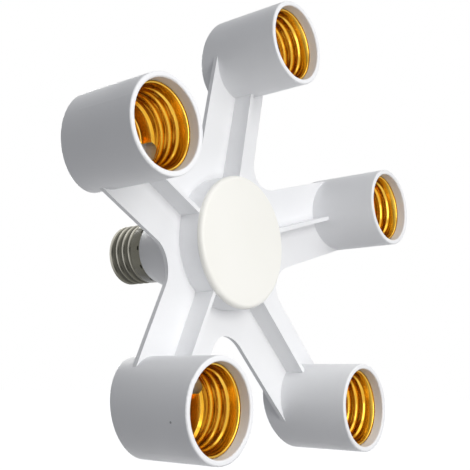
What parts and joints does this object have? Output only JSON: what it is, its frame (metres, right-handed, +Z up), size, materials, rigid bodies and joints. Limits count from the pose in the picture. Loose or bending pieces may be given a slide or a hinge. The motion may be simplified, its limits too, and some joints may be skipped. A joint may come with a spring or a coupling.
{
  "type": "lamp socket adapter",
  "caption": "Star-shaped lamp socket adapter: a screw base behind a capped hub feeds brass screw sockets in round cups at the ends of finned, forward-leaning arms.",
  "frame": {"origin": "on the lamp axis, at the front edge of the metal screw base, where the neck begins", "axes": "+Y along the lamp axis out of the back through the base tip, -Y the way the sockets face, +Z up along the top arm"},
  "size_m": [0.1846, 0.1001, 0.1773],
  "materials": {
    "white_plastic": "moulded, semi-gloss",
    "cream_plastic": "moulded, satin",
    "brass": "drawn sheet, bright",
    "nickel": "nickel plated",
    "black_insulator": "vitreous, glossy",
    "live_insulation": "extruded",
    "neutral_insulation": "extruded"
  },
  "bodies": {
    "root": {"base_insulator": "black_insulator", "base_shell": "nickel", "base_tip": "nickel", "centre_contact_1": "brass", "centre_contact_2": "brass", "centre_contact_3": "brass", "centre_contact_4": "brass", "centre_contact_5": "brass", "contact_rivets": "nickel", "front_housing": "white_plastic", "hub_cap": "cream_plastic", "live_wire_1": "live_insulation", "live_wire_2": "live_insulation", "live_wire_3": "live_insulation", "live_wire_4": "live_insulation", "live_wire_5": "live_insulation", "neutral_wire_1": "neutral_insulation", "neutral_wire_2": "neutral_insulation", "neutral_wire_3": "neutral_insulation", "neutral_wire_4": "neutral_insulation", "neutral_wire_5": "neutral_insulation", "rear_cover": "white_plastic", "screw_shell_1": "brass", "screw_shell_2": "brass", "screw_shell_3": "brass", "screw_shell_4": "brass", "screw_shell_5": "brass", "shell_rivets": "nickel"}
  },
  "joints": []
}
